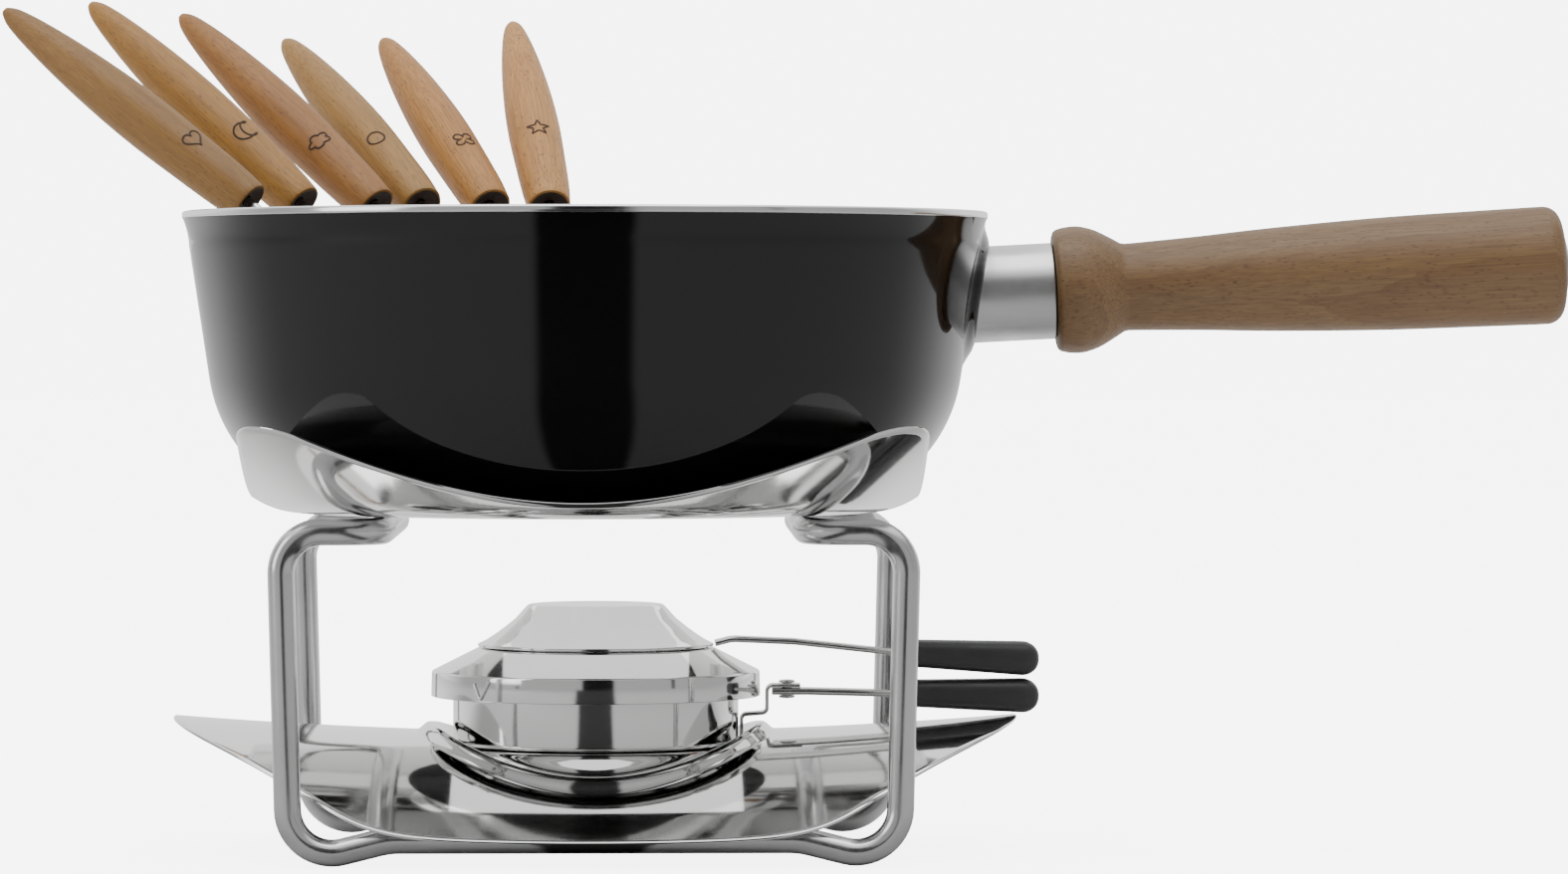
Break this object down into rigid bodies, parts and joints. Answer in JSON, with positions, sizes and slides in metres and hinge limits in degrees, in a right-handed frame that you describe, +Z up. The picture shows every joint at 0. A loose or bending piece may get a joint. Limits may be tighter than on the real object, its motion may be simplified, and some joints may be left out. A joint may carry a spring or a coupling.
{
  "type": "fondue pot set",
  "caption": "Fondue set: enamelled pot with a turned wooden handle on a wire stand, with a gel burner on an arched tray and forks with wooden handles leaning on the rim.",
  "frame": {"origin": "on the table, under the middle of the whole set's box", "axes": "+Z up, +X along the pot handle, away from the pot; the forks lean back towards +Y and -X"},
  "size_m": [0.4822, 0.323, 0.2614],
  "materials": {
    "stand_wire": "polished round wire",
    "polished_sheet": "mirror polish",
    "burner_steel": "mirror polish",
    "tinplate": "dull tinplate",
    "handle_strip_steel": "polished strip",
    "soft_grip": "matt, fine grain",
    "enamel": "gloss vitreous enamel",
    "rim_steel": "polished",
    "brushed_ferrule": "brushed round the axis",
    "pot_handle_wood": "oiled beech",
    "fastener_steel": "satin",
    "fork_steel": "polished",
    "fork_wood_heart": "oiled beech",
    "fork_wood_crescent": "oiled beech",
    "fork_wood_cloud": "oiled beech",
    "fork_wood_ring": "oiled beech",
    "fork_wood_clover": "oiled beech",
    "fork_wood_star": "oiled beech"
  },
  "bodies": {
    "stand": {"wire_stand": "stand_wire"},
    "plate": {"pot_support_plate": "polished_sheet"},
    "tray": {"drip_tray": "polished_sheet"},
    "burner": {"burner_cup": "burner_steel", "fuel_tin": "tinplate", "cup_handle_bracket": "handle_strip_steel", "cup_handle_rail": "handle_strip_steel", "cup_handle_rivet": "handle_strip_steel", "cup_grip": "soft_grip"},
    "regulator": {"regulator_cover": "burner_steel"},
    "lid": {"snuffer_lid": "burner_steel", "lid_handle_strip": "handle_strip_steel", "lid_grip": "soft_grip"},
    "pot": {"pot_body": "enamel", "pot_rim_ring": "rim_steel", "handle_ferrule": "brushed_ferrule", "handle_grip": "pot_handle_wood", "tie_rod": "fastener_steel", "end_washer": "fastener_steel", "end_screw": "fastener_steel"},
    "fork_heart": {"fork_heart_handle": "fork_wood_heart", "fork_heart_steel": "fork_steel"},
    "fork_crescent": {"fork_crescent_handle": "fork_wood_crescent", "fork_crescent_steel": "fork_steel"},
    "fork_cloud": {"fork_cloud_handle": "fork_wood_cloud", "fork_cloud_steel": "fork_steel"},
    "fork_ring": {"fork_ring_handle": "fork_wood_ring", "fork_ring_steel": "fork_steel"},
    "fork_clover": {"fork_clover_handle": "fork_wood_clover", "fork_clover_steel": "fork_steel"},
    "fork_star": {"fork_star_handle": "fork_wood_star", "fork_star_steel": "fork_steel"}
  },
  "joints": [
    {"name": "plate_lift", "type": "slide", "parent": "stand", "child": "plate", "axis": [0, 0, 1], "range_m": [0, 0.04]},
    {"name": "pot_lift", "type": "slide", "parent": "plate", "child": "pot", "axis": [0, 0, 1], "range_m": [0, 0.12]},
    {"name": "tray_lift", "type": "slide", "parent": "stand", "child": "tray", "axis": [0, 0, 1], "range_m": [0, 0.008]},
    {"name": "burner_lift", "type": "slide", "parent": "tray", "child": "burner", "axis": [0, 0, 1], "range_m": [0, 0.008]},
    {"name": "regulator_turn", "type": "hinge", "parent": "burner", "child": "regulator", "pos_m": [-0.05414, -0.04045, 0.0496], "axis": [0, 0, 1], "range_deg": [-20, 20]},
    {"name": "lid_lift", "type": "slide", "parent": "regulator", "child": "lid", "axis": [0, 0, 1], "range_m": [0, 0.009]},
    {"name": "fork_heart_pull", "type": "slide", "parent": "pot", "child": "fork_heart", "axis": [-0.7541, 0.2986, 0.585], "range_m": [0, 0.11]},
    {"name": "fork_crescent_pull", "type": "slide", "parent": "pot", "child": "fork_crescent", "axis": [-0.6668, 0.4118, 0.6211], "range_m": [0, 0.11]},
    {"name": "fork_cloud_pull", "type": "slide", "parent": "pot", "child": "fork_cloud", "axis": [-0.6241, 0.5, 0.6004], "range_m": [0, 0.11]},
    {"name": "fork_ring_pull", "type": "slide", "parent": "pot", "child": "fork_ring", "axis": [-0.4559, 0.7129, 0.5329], "range_m": [0, 0.11]},
    {"name": "fork_clover_pull", "type": "slide", "parent": "pot", "child": "fork_clover", "axis": [-0.3575, 0.7597, 0.5432], "range_m": [0, 0.11]},
    {"name": "fork_star_pull", "type": "slide", "parent": "pot", "child": "fork_star", "axis": [-0.1294, 0.7902, 0.599], "range_m": [0, 0.11]}
  ]
}
